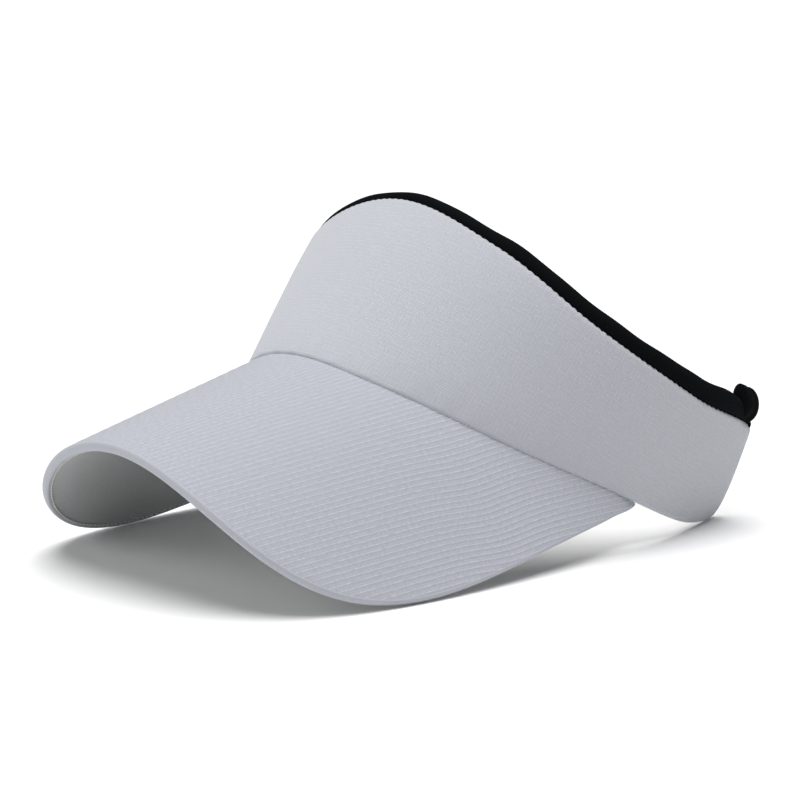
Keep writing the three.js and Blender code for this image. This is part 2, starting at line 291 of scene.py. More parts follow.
def eased(rows, share=0.7):
    """Numbers from 0 to 1, closer together at both ends."""
    t = np.linspace(0, 1, rows)
    return (1 - share) * t + share * (1 - np.cos(math.pi * t)) / 2


def closed_sheet(name, outer, inner, cloth_outer, cloth_inner, material, angle=50):
    """Closed body between two grids of points that share their stations, not their rows."""
    n, m, k = outer.shape[0], outer.shape[1], inner.shape[1]
    points = np.concatenate([outer.reshape(-1, 3), inner.reshape(-1, 3)])
    cloth = np.concatenate([cloth_outer.reshape(-1, 3), cloth_inner.reshape(-1, 3)])
    a = np.arange(n * m).reshape(n, m)
    b = np.arange(n * k).reshape(n, k) + n * m

    def quads(p, q, r, s):
        return np.stack([p, q, r, s], -1).reshape(-1, 4).tolist()

    faces = quads(a[:-1, :-1], a[1:, :-1], a[1:, 1:], a[:-1, 1:])
    faces += quads(b[:-1, :-1], b[:-1, 1:], b[1:, 1:], b[1:, :-1])
    faces += quads(a[:-1, 0], b[:-1, 0], b[1:, 0], a[1:, 0])
    faces += quads(a[:-1, -1], a[1:, -1], b[1:, -1], b[:-1, -1])
    if m == k:
        faces += quads(a[0, :-1], a[0, 1:], b[0, 1:], b[0, :-1])
        faces += quads(a[-1, :-1], b[-1, :-1], b[-1, 1:], a[-1, 1:])
    else:
        faces.append([*a[0].tolist(), *b[0, ::-1].tolist()])
        faces.append([*a[-1, ::-1].tolist(), *b[-1].tolist()])
    return cloth_object(name, points, faces, cloth, material, angle)


def cloth_object(name, points, faces, cloth, material, angle=50):
    """A piece from points in millimetres, with its place in the flat cloth kept on it."""
    mesh = bpy.data.meshes.new(name)
    mesh.from_pydata(((points + FORM_PLACE) * 0.001).tolist(), [], faces)
    mesh.attributes.new("cloth", "FLOAT_VECTOR", "POINT").data.foreach_set(
        "vector", cloth.astype(np.float32).ravel())
    work = bmesh.new()
    work.from_mesh(mesh)
    bmesh.ops.recalc_face_normals(work, faces=work.faces)
    work.to_mesh(mesh)
    work.free()
    mesh.shade_smooth()
    mesh.set_sharp_from_angle(angle=math.radians(angle))
    mesh.materials.append(material)
    piece = bpy.data.objects.new(name, mesh)
    bpy.context.collection.objects.link(piece)
    return piece


def interface(group, sockets):
    """Gives a node group its inputs and outputs: name, side, kind, starting value."""
    for name, side, kind, value in sockets:
        socket = group.interface.new_socket(name, in_out=side, socket_type=kind)
        if value is not None:
            socket.default_value = value


# Thread mask of the weave: the cloths use it for their bump, and also to paint the weave's light and
# shade into their colour.
weave = bpy.data.node_groups.new("checked_weave", "ShaderNodeTree")
interface(weave, [
    ("Lay", "INPUT", "NodeSocketVector", None), ("Along Pitch", "INPUT", "NodeSocketFloat", 1.5),
    ("Across Pitch", "INPUT", "NodeSocketFloat", 3.0), ("Along Share", "INPUT", "NodeSocketFloat", 0.5),
    ("Across Share", "INPUT", "NodeSocketFloat", 1.0), ("Thread Width", "INPUT", "NodeSocketFloat", 0.3),
    ("Wander", "INPUT", "NodeSocketFloat", 0.25), ("Minor Share", "INPUT", "NodeSocketFloat", 0.5),
    ("Threads", "OUTPUT", "NodeSocketFloat", None), ("Height", "OUTPUT", "NodeSocketFloat", None),
    ("Fibre", "OUTPUT", "NodeSocketFloat", None)])
given = node(weave, "NodeGroupInput")
drift = node(weave, "ShaderNodeTexNoise", {"Vector": given.outputs["Lay"], "Scale": 0.22,
             "Detail": 2.0}, noise_dimensions="3D").outputs["Fac"]
slub = node(weave, "ShaderNodeTexNoise", {"Vector": given.outputs["Lay"], "Scale": 0.75,
            "Detail": 3.0, "Roughness": 0.6}).outputs["Fac"]
fibre = node(weave, "ShaderNodeTexNoise", {"Vector": given.outputs["Lay"], "Scale": 3.2,
             "Detail": 4.0, "Roughness": 0.7}).outputs["Fac"]
axes = node(weave, "ShaderNodeSeparateXYZ", {"Vector": given.outputs["Lay"]}).outputs
sway = maths(weave, "MULTIPLY", maths(weave, "SUBTRACT", drift, 0.5), given.outputs["Wander"])
uneven = node(weave, "ShaderNodeMapRange", {"Value": slub, "From Min": 0.3, "From Max": 0.62,
              "To Min": 0.35, "To Max": 1.0}).outputs[0]
lines = []
for axis, pitch, share in (("X", "Along Pitch", "Along Share"), ("Y", "Across Pitch", "Across Share")):
    phase = maths(weave, "DIVIDE", maths(weave, "ADD", axes[axis], sway), given.outputs[pitch])
    width = maths(weave, "DIVIDE", given.outputs["Thread Width"], given.outputs[pitch])
    pair = []
    for turns in (1.0, 2.0):             # the main threads, and a thinner one between them
        beside = maths(weave, "ABSOLUTE", maths(weave, "SUBTRACT", maths(weave, "FRACT", maths(
            weave, "MULTIPLY", maths(weave, "SUBTRACT", phase, 0.5 - 0.5 / turns), turns)), 0.5))
        pair.append(node(weave, "ShaderNodeMapRange", {"Value": beside, "From Max": 0.0,
                    "From Min": maths(weave, "MULTIPLY", width, turns)},
                    interpolation_type="SMOOTHSTEP").outputs[0])
    line = maths(weave, "MAXIMUM", pair[0], maths(weave, "MULTIPLY", pair[1],
                                                  given.outputs["Minor Share"]))
    lines.append(maths(weave, "MULTIPLY", maths(weave, "MULTIPLY", line, uneven),
                       given.outputs[share]))
threads = maths(weave, "MAXIMUM", *lines)
FINE_WEAVE = 2 * math.pi / 0.5
fine = maths(weave, "MULTIPLY", maths(weave, "SINE", maths(weave, "MULTIPLY", axes["X"], FINE_WEAVE)),
             maths(weave, "SINE", maths(weave, "MULTIPLY", axes["Y"], FINE_WEAVE)))
height = maths(weave, "ADD", maths(weave, "MULTIPLY", threads, 0.6), maths(
    weave, "ADD", maths(weave, "MULTIPLY", fine, 0.14), maths(weave, "MULTIPLY", fibre, 0.22)))
node(weave, "NodeGroupOutput", {"Threads": threads, "Height": height, "Fibre": fibre})


def white_cloth(name, ground, thread, settings, relief):
    """White polyester: the darker ground between the threads and the brighter threads are painted shade
    and painted highlight of the weave's relief, with a little random fibre tone.
    """
    material, tree, shader = new_material(name, 0.82, sheen=0.25)
    lay = node(tree, "ShaderNodeAttribute", attribute_name="cloth").outputs["Vector"]
    cloth = node(tree, "ShaderNodeGroup", node_tree=weave)
    tree.links.new(lay, cloth.inputs["Lay"])
    for socket, value in settings.items():
        cloth.inputs[socket].default_value = value
    # Mixing ground and thread colours by the thread mask paints the weave's shade and highlight onto a
    # cloth of one colour.
    woven = node(tree, "ShaderNodeMix", {"Factor": cloth.outputs["Threads"], "A": (*ground, 1),
                 "B": (*thread, 1)}, data_type="RGBA")
    shade = node(tree, "ShaderNodeMapRange", {"Value": cloth.outputs["Fibre"], "From Min": 0.3,
                 "From Max": 0.7, "To Min": 0.95, "To Max": 1.03}).outputs[0]
    tint = node(tree, "ShaderNodeVectorMath", {0: woven.outputs["Result"], "Scale": shade},
                operation="SCALE")
    tree.links.new(tint.outputs[0], shader.inputs["Base Color"])
    tree.links.new(node(tree, "ShaderNodeMapRange", {"Value": cloth.outputs["Threads"],
                   "To Min": 0.86, "To Max": 0.66}).outputs[0], shader.inputs["Roughness"])
    emboss(tree, shader, cloth.outputs["Height"], 0.75, relief)
    return material


# Ground and thread colours: the darker ground is painted shade, the lighter threads painted highlight.
crown_cloth = white_cloth("white_checked_polyester", (0.43, 0.445, 0.487), (0.62, 0.635, 0.675),
                          {"Along Pitch": 1.45, "Across Pitch": 1.6, "Along Share": 0.75,
                           "Across Share": 0.75, "Thread Width": 0.22, "Wander": 1.3,
                           "Minor Share": 0.65}, 0.00013)

band = column(stations(0, 200))
rounded_low = band["low"] + roll(band["from_end"], TAIL_RADIUS)


def wandering(u, length, wander, wander_length):
    """Phase of a wave along the cloth whose spacing isn't quite even."""
    return u / length + wander * np.sin(u / wander_length)


def shell_face(rows, depth, share=0.7):
    """One face of the shell: rolled at the edges, puffed between them, scalloped on top."""
    v = eased(rows, share)[None, :]
    height = rounded_low[:, None] + v * (band["high"] - rounded_low)[:, None]
    _, angle = on_column(band, height, 0)
    lay = cloth_on_wall(angle, height)
    u = run_round(angle)
    d = edge_distance(band, height)
    from_top = band["high"][:, None] - height
    from_low = height - rounded_low[:, None]
    scallop = np.abs(np.sin(wandering(u, SCALLOP_PITCH / math.pi, 0.6, 17)))
    puff = SHELL_PUFF * (1 - np.exp(-d / PUFF_REACH))
    pull = STITCH_PULL * np.exp(-from_top / PULL_REACH) * (1 - 2 * scallop)
    pucker = SEAM_PUCKER * np.exp(-from_low / PUCKER_REACH) * np.sin(wandering(u, 2.1, 1.7, 13))
    hollow = SOFT_HOLLOW * np.sin(u / 19 + 0.8) * np.sin(height / 11 + u / 37)
    hollow *= np.clip(d / HOLLOW_REACH, 0, 1)
    inwards = roll(d, EDGE_ROLL) - puff + pull + pucker * np.clip(d / 2, 0, 1) + hollow + depth
    lifted = height + (TOP_LIFT + SCALLOP_RISE * (scallop - 0.5)) * np.exp(-from_top / 1.3)
    return on_column(band, lifted, inwards)[0], lay


def sewn_in(piece, cad):
    """The piece moves with the visor and takes its CAD node's place."""
    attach(piece, "visor")
    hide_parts(cad)


outer, outer_cloth = shell_face(64, 0.0)
inner, inner_cloth = shell_face(10, SHELL_THICK, 0.3)
crown_shell = closed_sheet("crown_cover", outer, inner, outer_cloth, inner_cloth, crown_cloth)
sewn_in(crown_shell, "crown_shell")

# ------------------------------------------------------------- crown padding and lining
# A thin sheet of open-cell foam keeps the band full; a plain white lining closes the back.
# Both stop short of the edges, where the shell is turned in over them.
PADDING, LINING = (1.0, 2.6), (2.9, 3.5)
INNER_START, HEM, INNER_END = 3.0, 3.4, 1.0
foam, tree, shader = new_material("open_cell_foam", 0.95, colour=(0.85, 0.84, 0.8))
cells = node(tree, "ShaderNodeTexVoronoi", {"Scale": 1800.0, "Vector": node(
    tree, "ShaderNodeTexCoord").outputs["Object"]})
tone = node(tree, "ShaderNodeMapRange", {"Value": cells.outputs["Distance"], "To Min": 1.0,
            "To Max": 0.8}).outputs[0]
tree.links.new(node(tree, "ShaderNodeVectorMath", {0: (0.85, 0.84, 0.8), "Scale": tone},
               operation="SCALE").outputs[0], shader.inputs["Base Color"])
emboss(tree, shader, cells.outputs["Distance"], 0.6, 0.0002)
# Ground and thread colours: the darker ground is painted shade, the lighter threads painted highlight.
lining_cloth = white_cloth("white_plain_lining", (0.66, 0.675, 0.70), (0.74, 0.75, 0.77),
                           {"Along Pitch": 0.9, "Across Pitch": 0.9, "Along Share": 0.5,
                            "Across Share": 0.5, "Thread Width": 0.3, "Wander": 0.3}, 0.00008)
LAYER_RIPPLE, LAYER_ROWS = 0.12, 30
layer = column(stations(INNER_END, 130, 16))
layer_low = layer["low"] + INNER_START + roll(layer["from_end"] - INNER_END, TAIL_RADIUS)
layer_high = layer["high"] - HEM


def layer_face(depth, edge):
    """A face of a flat layer inside the crown; its rim turns in by edge."""
    height = layer_low[:, None] + eased(LAYER_ROWS, 0.5)[None, :] * (layer_high - layer_low)[:, None]
    d = edge_distance(layer, height, HEM, INNER_START, INNER_END)
    _, angle = on_column(layer, height, 0)
    lay = cloth_on_wall(angle, height)
    ripple = LAYER_RIPPLE * np.sin(lay[..., 0] / 3.1) * np.exp(-d / 4)
    turned = edge * np.exp(-np.maximum(d, 0) / 1.2)
    return on_column(layer, height, depth + ripple + turned)[0], lay


for name, node_name, slot, material, (front, back), edge in [
        ("crown_wadding", "crown_padding", "foam", foam, PADDING, 0.3),
        ("crown_lining_cloth", "crown_lining", "white_fabric", lining_cloth, LINING, -0.5)]:
    face, face_cloth = layer_face(front, edge)
    rear, rear_cloth = layer_face(back, edge)
    piece = closed_sheet(name, face, rear, face_cloth, rear_cloth, material)
    sewn_in(piece, node_name)

# ------------------------------------------------------------------------------ sweatband
# Black brushed knit folded over a foam strip and sewn inside the crown. It relaxes outwards
# where it clears the white edge, and narrows to its sewn ends at the tails.
BAND_OUT, BAND_PROUD, BAND_IN, BAND_DROP, KNIT, BAND_STOP = 4.0, 1.2, 8.0, 30.0, 0.7, 20.0
KNIT_RISE = [[0, 5.2], [30, 5.7], [60, 6.3], [90, 7.0], [100, 7.4], [108, 6.4], [118, 5.0]]
BAND_CLOSE, FLAT_FROM = 9.0, 19.0    # the knit tapers to its end over these lengths
LEGS_MEET = BAND_OUT + 1.5           # depth where its inner leg comes down on the outer one
END_SHARE = 0.12                     # of the band's height and thickness left at its end
SWELL, FINE_SWELL = 0.22, 0.1
SEAM_TUCK, TUCK_AT, TUCK_REACH = 0.25, 0.2, 1.1      # where the top stitches pinch the knit
FOAM_BELOW, FOAM_GAP = 0.4, 0.3                      # the foam keeps this clear of the knit
FOOT_CLEAR = 5.0                     # the band's foot stays this far above the crown's edge

# Loop height of the knit: it drives the bump, and also the painted shade and highlight in the knit's
# colour.
knit = bpy.data.node_groups.new("rib_knit", "ShaderNodeTree")
interface(knit, [("Lay", "INPUT", "NodeSocketVector", None),
                 ("Wale", "INPUT", "NodeSocketFloat", 0.8), ("Course", "INPUT", "NodeSocketFloat", 0.6),
                 ("Height", "OUTPUT", "NodeSocketFloat", None),
                 ("Fuzz", "OUTPUT", "NodeSocketFloat", None)])
given = node(knit, "NodeGroupInput")
axes = node(knit, "ShaderNodeSeparateXYZ", {"Vector": given.outputs["Lay"]}).outputs
rib = maths(knit, "ABSOLUTE", maths(knit, "SINE", maths(
    knit, "MULTIPLY", maths(knit, "DIVIDE", axes["X"], given.outputs["Wale"]), math.pi)))
slant = maths(knit, "ADD", maths(knit, "DIVIDE", axes["Y"], given.outputs["Course"]),
              maths(knit, "MULTIPLY", rib, 0.45))
loop = maths(knit, "ABSOLUTE", maths(knit, "SINE", maths(knit, "MULTIPLY", slant, math.pi)))
fuzz = node(knit, "ShaderNodeTexNoise", {"Vector": given.outputs["Lay"], "Scale": 2.6,
            "Detail": 5.0, "Roughness": 0.75}).outputs["Fac"]
stitch = maths(knit, "MULTIPLY", rib, maths(knit, "ADD", maths(knit, "MULTIPLY", loop, 0.5), 0.5))
node(knit, "NodeGroupOutput", {"Height": maths(knit, "ADD", stitch, maths(
    knit, "MULTIPLY", fuzz, 0.5)), "Fuzz": fuzz})


def black_knit(name, wale, course, relief):
    """Black brushed knit: near black in the hollows as painted shade, a little greyer on the loops as
    painted highlight.
    """
    material, tree, shader = new_material(name, 0.9, sheen=0.003, specular=0.045)
    lay = node(tree, "ShaderNodeAttribute", attribute_name="cloth").outputs["Vector"]
    loops = node(tree, "ShaderNodeGroup", node_tree=knit)
    tree.links.new(lay, loops.inputs["Lay"])
    loops.inputs["Wale"].default_value, loops.inputs["Course"].default_value = wale, course
    # The colour follows the loops' height: painted shade in the hollows, painted highlight on the loops.
    tone = node(tree, "ShaderNodeMapRange", {"Value": loops.outputs["Height"], "From Min": 0.1,
                "From Max": 1.2}).outputs[0]
    colour = node(tree, "ShaderNodeMix", {"Factor": tone, "A": (0.0009, 0.0011, 0.0012, 1),
                  "B": (0.0045, 0.0056, 0.0066, 1)}, data_type="RGBA")
    tree.links.new(colour.outputs["Result"], shader.inputs["Base Color"])
    tree.links.new(node(tree, "ShaderNodeMapRange", {"Value": loops.outputs["Fuzz"],
                   "To Min": 0.98, "To Max": 0.8}).outputs[0], shader.inputs["Roughness"])
    emboss(tree, shader, loops.outputs["Height"], 0.8, relief)
    return material


sweatband_knit = black_knit("black_brushed_knit", 0.85, 0.7, 0.00018)


def band_section(rise):
    """Depth inwards and height above the crown edge, from the outer leg over to the inner."""
    one = np.ones_like(rise)
    section = [(BAND_OUT, -BAND_DROP * one), (BAND_OUT, -BAND_DROP / 2 * one),
               (BAND_OUT, -2.5 * one), (BAND_PROUD, 0.8 * one), (BAND_PROUD - 0.5, rise * 0.55),
               (BAND_PROUD + 0.4, rise - 1.1), (BAND_PROUD + 2, rise), (BAND_IN - 2.2, rise - 0.6),
               (BAND_IN - 0.6, rise - 2.6), (BAND_IN, -6 * one), (BAND_IN, -BAND_DROP / 2 * one),
               (LEGS_MEET, -BAND_DROP * one)]
    return np.stack([np.stack([d * one, h], -1) for d, h in section], 1)


def smooth_rows(rows, count):
    """Resamples each row of points with a smooth curve through them."""
    n = rows.shape[1]
    t = np.linspace(0, n - 1, count)
    i = np.clip(t.astype(int), 0, n - 2)
    f = (t - i)[None, :, None]
    p0, p1 = rows[:, np.maximum(i - 1, 0)], rows[:, i]
    p2, p3 = rows[:, i + 1], rows[:, np.minimum(i + 2, n - 1)]
    return (p1 + 0.5 * f * (p2 - p0) + f**2 * (p0 - 2.5 * p1 + 2 * p2 - 0.5 * p3)
            + f**3 * (1.5 * p1 - 0.5 * p0 - 1.5 * p2 + 0.5 * p3))


def inset_rows(rows, by):
    """Moves each open row sideways, to the inside of its fold."""
    step = unit(np.gradient(rows, axis=1))
    return rows + by * np.stack([step[..., 1], -step[..., 0]], -1)


KNIT_REACH = 2.0                     # the knit runs on to this far from the tail end
knit_column = column(stations(KNIT_REACH, 150, 20))
closing = np.clip((knit_column["from_end"] - KNIT_REACH) / BAND_CLOSE, 0, 1)
closing = np.sqrt(1 - (1 - closing) ** 2)
rise = along(KNIT_RISE, knit_column["top"]) * (END_SHARE + (1 - END_SHARE) * closing)
section = smooth_rows(band_section(rise), 56)
# Towards the tail the fold lies flat, and its foot follows the rounded corner of the crown.
flat_share = np.clip((knit_column["from_end"] - KNIT_REACH) / FLAT_FROM, 0, 1)[:, None]
flat_share = flat_share * flat_share * (3 - 2 * flat_share)
inner_leg = section[:, section.shape[1] // 2:, 0]
flattened = LEGS_MEET + (inner_leg - LEGS_MEET) * (END_SHARE + (1 - END_SHARE) * flat_share)
inner_leg[:] = np.where(inner_leg > LEGS_MEET, flattened, inner_leg)
room_below = (knit_column["high"] - knit_column["low"] - FOOT_CLEAR
              - roll(knit_column["from_end"], TAIL_RADIUS))
foot = np.minimum(room_below / BAND_DROP, 1)[:, None]
section[..., 1] = np.where(section[..., 1] < 0, section[..., 1] * foot, section[..., 1])
u = run_round(knit_column["top"])[:, None]
over = np.clip((section[..., 1] + 1) / 4, 0, 1)
swell = (SWELL * np.sin(u / 8.3 + 1) * np.sin(u / 29) + FINE_SWELL * np.sin(u / 3.7)) * over
section[..., 1] += swell
tuck = np.exp(-((section[..., 1] - TUCK_AT) / TUCK_REACH) ** 2) * (section[..., 0] < 3.5)
section[..., 0] += SEAM_TUCK * tuck * np.abs(np.sin(math.pi * u / SCALLOP_PITCH))


def band_grid(rows):
    """Rows of the fold as points on the crown, and as places in the flat knit."""
    points, angle = on_column(knit_column, knit_column["high"][:, None] + rows[..., 1],
                              rows[..., 0])
    girth = np.cumsum(np.concatenate([np.zeros((len(rows), 1)), np.linalg.norm(
        np.diff(rows, axis=1), axis=2)], 1), 1)
    return points, np.stack([run_round(angle), girth, 0 * girth], -1)


outer, outer_cloth = band_grid(section)
inner, inner_cloth = band_grid(inset_rows(section, KNIT))
sweatband = closed_sheet("sweatband_knit", outer, inner, outer_cloth, inner_cloth, sweatband_knit)
sewn_in(sweatband, "sweatband_cover")

FOAM_FOOT, FOAM_TOP = 2, 12           # of the fold's 25 rows, the ones the foam fills
foam_column = column(stations(BAND_STOP + 1, 90, 10))
core_rise = along(KNIT_RISE, foam_column["top"]) - FOAM_BELOW
core = inset_rows(smooth_rows(band_section(core_rise), 25), KNIT + FOAM_GAP)


def foam_face(rows):
    """One face of the foam strip, from its foot up to the top of the fold."""
    leg = rows[:, FOAM_FOOT:FOAM_TOP]
    return on_column(foam_column, foam_column["high"][:, None] + leg[..., 1], leg[..., 0])[0]


outer, inner = foam_face(core), foam_face(core[:, ::-1])
strip = closed_sheet("sweatband_foam_strip", outer, inner, outer, inner, foam)
sewn_in(strip, "sweatband_foam")

# ----------------------------------------------------------------------------------- brim
# A stiff board between two covers. The top cloth has raised cords that run from the crown
# to the front; it was cut flat and lies on the board without stretching, so its place in the
# flat cloth comes from unrolling the brim.
BRIM_EDGE = [[0, -184.6, 50], [78, -184.6, 50], [92, -161.5, -61.4], [83, -82.5, 30.3],
             [85.7, -30.6, 6.3]]
BRIM_END_ANGLE, BRIM_TUCK, BRIM_SINK, BRIM_REACH = 91.0, 2.4, 0.5, 0.994
COVER, UNDER_SLACK = (0.95, 1.35), 0.22
CORD_PITCH, CORD_RISE, TOP_LOFT = 2.02, 0.14, 1.95
EAR_REACH = 4.0                       # the ends of the brim run on inside the crown
GRAIN_TURN = math.radians(11)         # the cloth was laid a little askew when it was cut
THIN_FROM, THIN_SHARE = 0.9, 0.65     # towards its ends the brim thins by this share
BEND, BEND_FROM, BEND_OVER, BEND_AT, BEND_SPREAD = 1.6, 55, 30, 8, 14


def root(angle):
    return wall(angle, along(BOTTOM_EDGE, angle) - BRIM_SINK, BRIM_TUCK)


brim_poles = np.array([*BRIM_EDGE, root(BRIM_END_ANGLE)])


def outline(t):
    """Outer edge of the brim, from the middle of the front to the left end."""
    ps = np.repeat(brim_poles[:, None, :], len(t), 1)
    while len(ps) > 1:
        ps = ps[:-1] + (ps[1:] - ps[:-1]) * t[None, :, None]
    return ps[0]


def heading(curve, x, e):
    return unit(curve(x + e) - curve(x - e))


def half_brim(t):
    """Seam points, edge points, normals and edge directions of the left half of the brim."""
    edge, along_edge = outline(t), heading(outline, t, 0.002)
    along_edge[0] = SIDEWAYS

    def twist(a):
        return np.einsum("ij,ij->i", root(a) - edge, np.cross(heading(root, a, 0.2), along_edge))

    a, b = np.zeros_like(t), np.full_like(t, BRIM_END_ANGLE)
    before = np.sign(twist(b))
    for _ in range(40):
        middle = (a + b) / 2
        same = np.sign(twist(middle)) == before
        a, b = np.where(same, a, middle), np.where(same, middle, b)
    a[t <= 0] = 0
    seam = root(a)
    return seam, edge, unit(np.cross(edge - seam, along_edge)), along_edge


def both_sides(left, flip=(-1, 1, 1)):
    """Right half mirrored from the left one, then the left."""
    return np.concatenate([left[:0:-1] * np.array(flip)[:left.shape[-1]], left])


def brim_forms(count):
    t = np.linspace(0, BRIM_REACH, count)
    seam, edge, normal, along_edge = half_brim(t)
    late = np.clip((t - THIN_FROM) / (1 - THIN_FROM), 0, 1)
    late = (late * late * (3 - 2 * late))[:, None]
    behind = unit(root(BRIM_END_ANGLE + 1) - root(BRIM_END_ANGLE - 1)) * EAR_REACH
    seam, edge = seam + late * behind, edge + late * behind
    flat_seam, flat_edge = flat_pattern(seam, edge)
    thin = 1 - THIN_SHARE * late
    return [both_sides(a) for a in (seam, edge, normal)] + [
        both_sides(along_edge, (1, -1, -1)), both_sides(flat_seam), both_sides(flat_edge),
        both_sides(thin, (1,))]


def brim_face(forms, rows, up, relief=None):
    """A face of the brim: rows of points from seam to edge, at a height off the middle."""
    seam, edge, normal, _, flat_seam, flat_edge, thin = forms
    v = np.linspace(0, 1, rows)[None, :, None]
    flat = flat_seam[:, None] + (flat_edge - flat_seam)[:, None] * v
    x, y = flat[..., 0], flat[..., 1]
    near_ear = np.clip((np.abs(x) - BEND_FROM) / BEND_OVER, 0, 1)
    drawn = BEND * near_ear * np.exp(-((y - BEND_AT) / BEND_SPREAD) ** 2)   # beside the crown
    cloth = np.stack([x * math.cos(GRAIN_TURN) - y * math.sin(GRAIN_TURN) - drawn,
                      y * math.cos(GRAIN_TURN) + x * math.sin(GRAIN_TURN), 0 * x], -1)
    lift = up * thin + (relief(cloth, v[..., 0]) if relief else 0) + 0 * x
    return seam[:, None] + (edge - seam)[:, None] * v + normal[:, None] * lift[..., None], cloth


def cords(cloth, v):
    """Raised cords of the top cloth, flattened where the binding grips it."""
    ridge = (0.5 - 0.5 * np.cos(2 * math.pi * cloth[..., 0] / CORD_PITCH)) ** 2
    return CORD_RISE * ridge * np.clip((1 - v) * 30, 0, 1)


def soft_under(cloth, v):
    """Slack places in the under cover, which isn't as tight as the top."""
    x, y = cloth[..., 0], cloth[..., 1]
    return -UNDER_SLACK * np.sin(x / 13 + 0.7 * np.sin(y / 11)) * np.sin(math.pi * v)


# Ground and thread colours of these cloths: the darker ground is painted shade, the lighter threads
# painted highlight.
brim_cloth = white_cloth("white_corded_polyester", (0.35, 0.361, 0.413), (0.65, 0.66, 0.70),
                         {"Along Pitch": CORD_PITCH, "Across Pitch": 0.72, "Along Share": 0.8,
                          "Across Share": 0.45, "Thread Width": 0.28, "Wander": 0.12,
                          "Minor Share": 0.45}, 0.00015)
under_cloth = white_cloth("white_under_cover", (0.40, 0.42, 0.42), (0.56, 0.575, 0.575),
                          {"Along Pitch": CORD_PITCH, "Across Pitch": 1.1, "Along Share": 0.9,
                           "Across Share": 0.3, "Thread Width": 0.5, "Wander": 0.5}, 0.00014)
fine_brim, plain_brim = brim_forms(400), brim_forms(130)


top_face, top_lay = brim_face(fine_brim, 96, TOP_LOFT, cords)
top_back, back_lay = brim_face(fine_brim, 2, COVER[0])
top_cover = closed_sheet("brim_top_cloth", top_face, top_back, top_lay, back_lay, brim_cloth)
under_face, under_lay = brim_face(plain_brim, 40, -COVER[1], soft_under)
under_back, back_lay = brim_face(plain_brim, 2, -COVER[0])
under_cover = closed_sheet("brim_under_cloth", under_face, under_back, under_lay, back_lay,
                           under_cloth)
for piece, cad in ((top_cover, "brim_top_cover"), (under_cover, "brim_under_cover")):
    sewn_in(piece, cad)

board_plastic, tree, shader = new_material("brim_board_plastic", 0.5, colour=(0.9, 0.9, 0.88))
mottle = node(tree, "ShaderNodeTexNoise", {"Scale": 420.0, "Detail": 3.0,
              "Vector": node(tree, "ShaderNodeTexCoord").outputs["Object"]}).outputs["Fac"]
tree.links.new(node(tree, "ShaderNodeMapRange", {"Value": mottle, "To Min": 0.38, "To Max": 0.6}
                    ).outputs[0], shader.inputs["Roughness"])
emboss(tree, shader, mottle, 0.2, 0.0001)
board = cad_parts["brim_board"]
board.data.materials.clear()
board.data.materials.append(board_plastic)

# ---------------------------------------------------------------------------- brim binding
# A bias strip of the same cloth wraps the brim's outer edge, folded under on both faces.
BINDING_UNDER, BINDING_OVER, BINDING_PROUD, BINDING_THICK = 1.9, 0.7, 0.9, 0.4
BULGE_BACK, BULGE_END = 0.2, 0.35    # where the round edge stands and where its flats begin
ROW_IN, ROW_EASE, EASE_LENGTH, EASE_REACH = 1.3, 0.06, 0.33, 0.7   # the row draws the strip in


def edge_path(forms, path):
    """Rows of points round the outer edge; path holds distance in from it and height off."""
    _, edge, normal, along_edge, _, _, thin = forms
    out = unit(np.cross(along_edge, normal))[:, None]
    path = np.asarray(path, float) * thin[:, None]
    return edge[:, None] - out * path[..., :1] + normal[:, None] * path[..., 1:]


FACE_UP, FACE_DOWN = TOP_LOFT + 0.06, -COVER[1] - 0.25    # of the strip, off the middle
turn = np.linspace(math.pi / 2, -math.pi / 2, 17)
middle, radius = (FACE_UP + FACE_DOWN) / 2, (FACE_UP - FACE_DOWN) / 2
bulge = np.stack([BULGE_BACK - BINDING_PROUD * np.cos(turn), middle + radius * np.sin(turn)], -1)
over = np.linspace(BINDING_OVER, BULGE_END, 4)[:, None]
under = np.linspace(BULGE_END, BINDING_UNDER, 9)[:, None]
fold = np.concatenate([np.hstack([over, FACE_UP + 0 * over]), bulge,
                       np.hstack([under, FACE_DOWN + 0 * under])])
fold[0, 1], fold[-1, 1] = TOP_LOFT - 0.15, -COVER[1] + 0.05   # its edges dive into the covers
girth = np.concatenate([[0], np.cumsum(np.linalg.norm(np.diff(fold, axis=0), axis=1))])
normals = unit(np.gradient(fold, axis=0))
tight = fold - BINDING_THICK * np.stack([normals[:, 1], -normals[:, 0]], -1)
run_edge = np.concatenate([[0], np.cumsum(np.linalg.norm(np.diff(fine_brim[1], axis=0), axis=1))])
ease = (ROW_EASE * np.sin(run_edge / EASE_LENGTH)[:, None]
        * np.exp(-((fold[:, 0] - ROW_IN) / EASE_REACH) ** 2)[None, :])
shaped = np.broadcast_to(fold, (len(run_edge), *fold.shape)).copy()
shaped[..., 1] += ease * (fold[:, 1] < 0)
binding_lay = np.stack(np.broadcast_arrays(run_edge[:, None], girth[None, :], 0.0), -1)
# Ground and thread colours: the darker ground is painted shade, the lighter threads painted highlight.
binding_cloth = white_cloth("white_binding", (0.40, 0.412, 0.458), (0.49, 0.505, 0.545),
                            {"Along Pitch": 0.7, "Across Pitch": 0.7, "Along Share": 0.5,
                             "Across Share": 0.5, "Thread Width": 0.25, "Wander": 0.3}, 0.00007)
binding = closed_sheet("brim_binding", edge_path(fine_brim, shaped),
                       edge_path(fine_brim, np.broadcast_to(tight, shaped.shape)),
                       binding_lay, binding_lay, binding_cloth)
sewn_in(binding, "brim_edge_binding")

